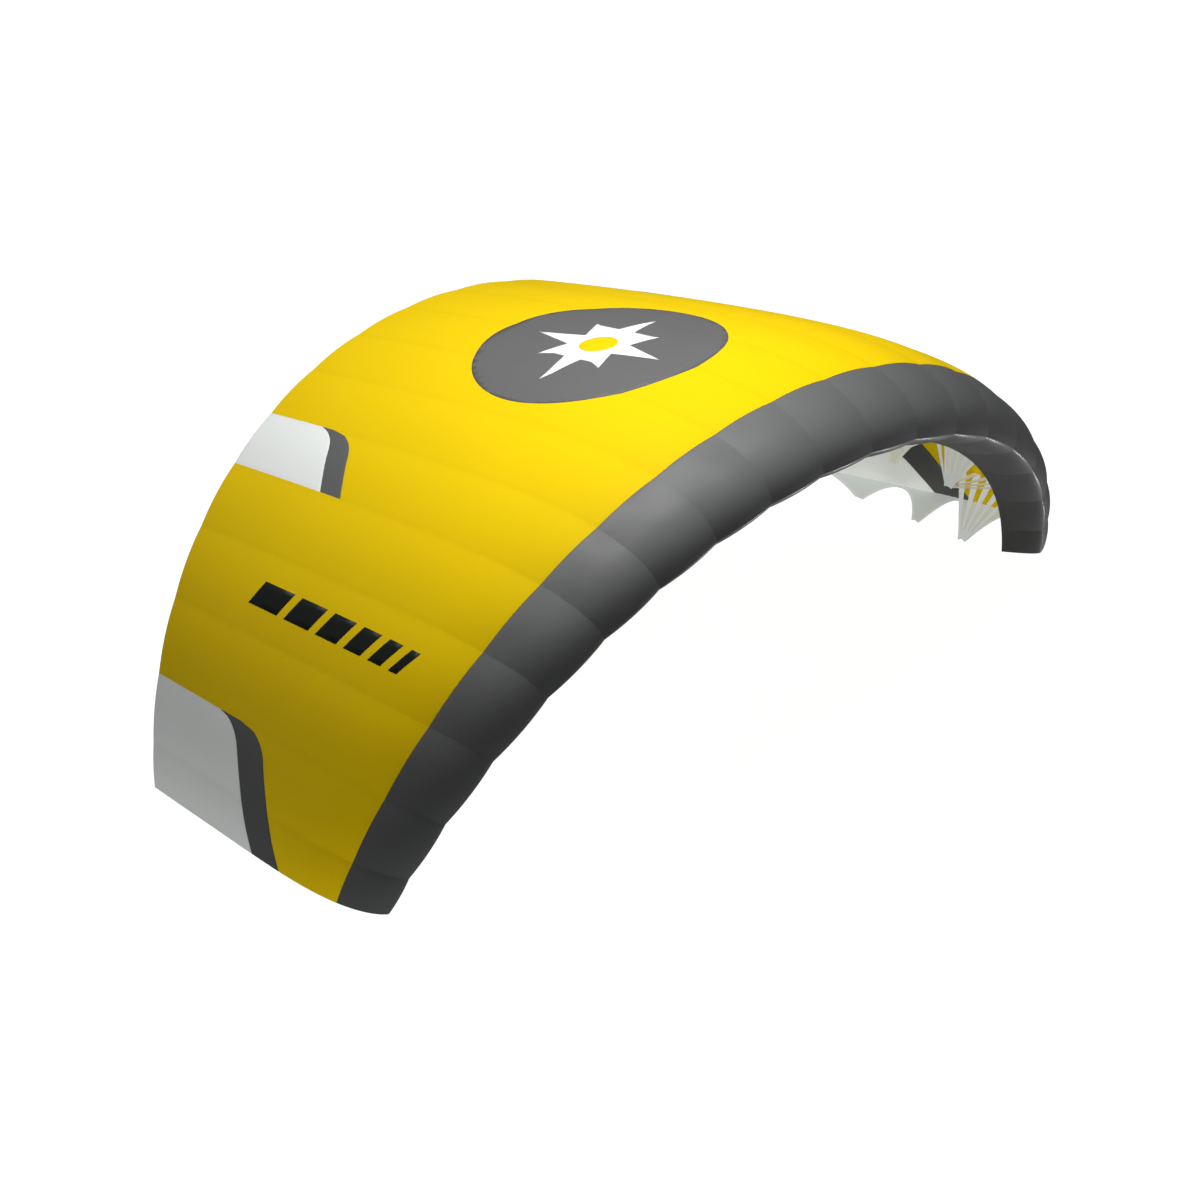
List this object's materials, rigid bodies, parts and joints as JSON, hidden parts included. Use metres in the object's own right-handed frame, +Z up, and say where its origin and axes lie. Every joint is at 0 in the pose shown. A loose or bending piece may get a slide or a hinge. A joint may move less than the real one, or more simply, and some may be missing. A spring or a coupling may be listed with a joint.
{
  "type": "parawing",
  "caption": "Single-skin kite wing with a wrapped dark leading edge, scalloped cloth ribs, strap fans and light panels at the tips.",
  "frame": {"origin": "on the ground under the middle of the bounding box", "axes": "+X along the span to the right tip, +Y from the leading edge to the trailing edge, +Z up"},
  "size_m": [2.7838, 1.4928, 1.0285],
  "materials": {
    "main_cloth": "smooth coated ripstop, satin",
    "dark_cloth": "smooth coated ripstop, satin",
    "light_cloth": "smooth coated ripstop, satin",
    "rib_cloth": "firm coated ripstop, matt",
    "strap_cloth": "woven tape, matt"
  },
  "bodies": {
    "root": {"fan_00_right": "strap_cloth", "fan_02_left": "strap_cloth", "fan_02_right": "strap_cloth", "fan_04_left": "strap_cloth", "fan_04_right": "strap_cloth", "fan_06_left": "strap_cloth", "fan_06_right": "strap_cloth", "fan_08_left": "strap_cloth", "fan_08_right": "strap_cloth", "fan_10_left": "strap_cloth", "fan_10_right": "strap_cloth", "fan_12_left": "strap_cloth", "fan_12_right": "strap_cloth", "fan_14_left": "strap_cloth", "fan_14_right": "strap_cloth", "fan_16_left": "strap_cloth", "fan_16_right": "strap_cloth", "fan_18_left": "strap_cloth", "leading_edge_centre_left": "dark_cloth", "leading_edge_centre_right": "dark_cloth", "leading_edge_inner_left": "dark_cloth", "leading_edge_inner_right": "dark_cloth", "leading_edge_outer_left": "dark_cloth", "leading_edge_outer_right": "dark_cloth", "line_rib_00": "rib_cloth", "line_rib_02": "rib_cloth", "line_rib_04": "rib_cloth", "line_rib_06": "rib_cloth", "line_rib_08": "rib_cloth", "line_rib_10": "rib_cloth", "line_rib_12": "rib_cloth", "line_rib_14": "rib_cloth", "line_rib_16": "rib_cloth", "line_rib_18": "rib_cloth", "mid_panel_left": "light_cloth", "mid_panel_right": "light_cloth", "mid_stripe_left": "dark_cloth", "mid_stripe_right": "dark_cloth", "nose_rib_01": "rib_cloth", "nose_rib_03": "rib_cloth", "nose_rib_05": "rib_cloth", "nose_rib_07": "rib_cloth", "nose_rib_09": "rib_cloth", "nose_rib_11": "rib_cloth", "nose_rib_13": "rib_cloth", "nose_rib_15": "rib_cloth", "nose_rib_17": "rib_cloth", "skin_centre_left": "main_cloth", "skin_centre_right": "main_cloth", "skin_inner_left": "main_cloth", "skin_inner_right": "main_cloth", "skin_outer_left": "main_cloth", "skin_outer_right": "main_cloth", "tip_panel_left": "light_cloth", "tip_panel_right": "light_cloth", "tip_stripe_left": "dark_cloth", "tip_stripe_right": "dark_cloth", "underskin_left": "dark_cloth", "underskin_right": "dark_cloth"}
  },
  "joints": []
}
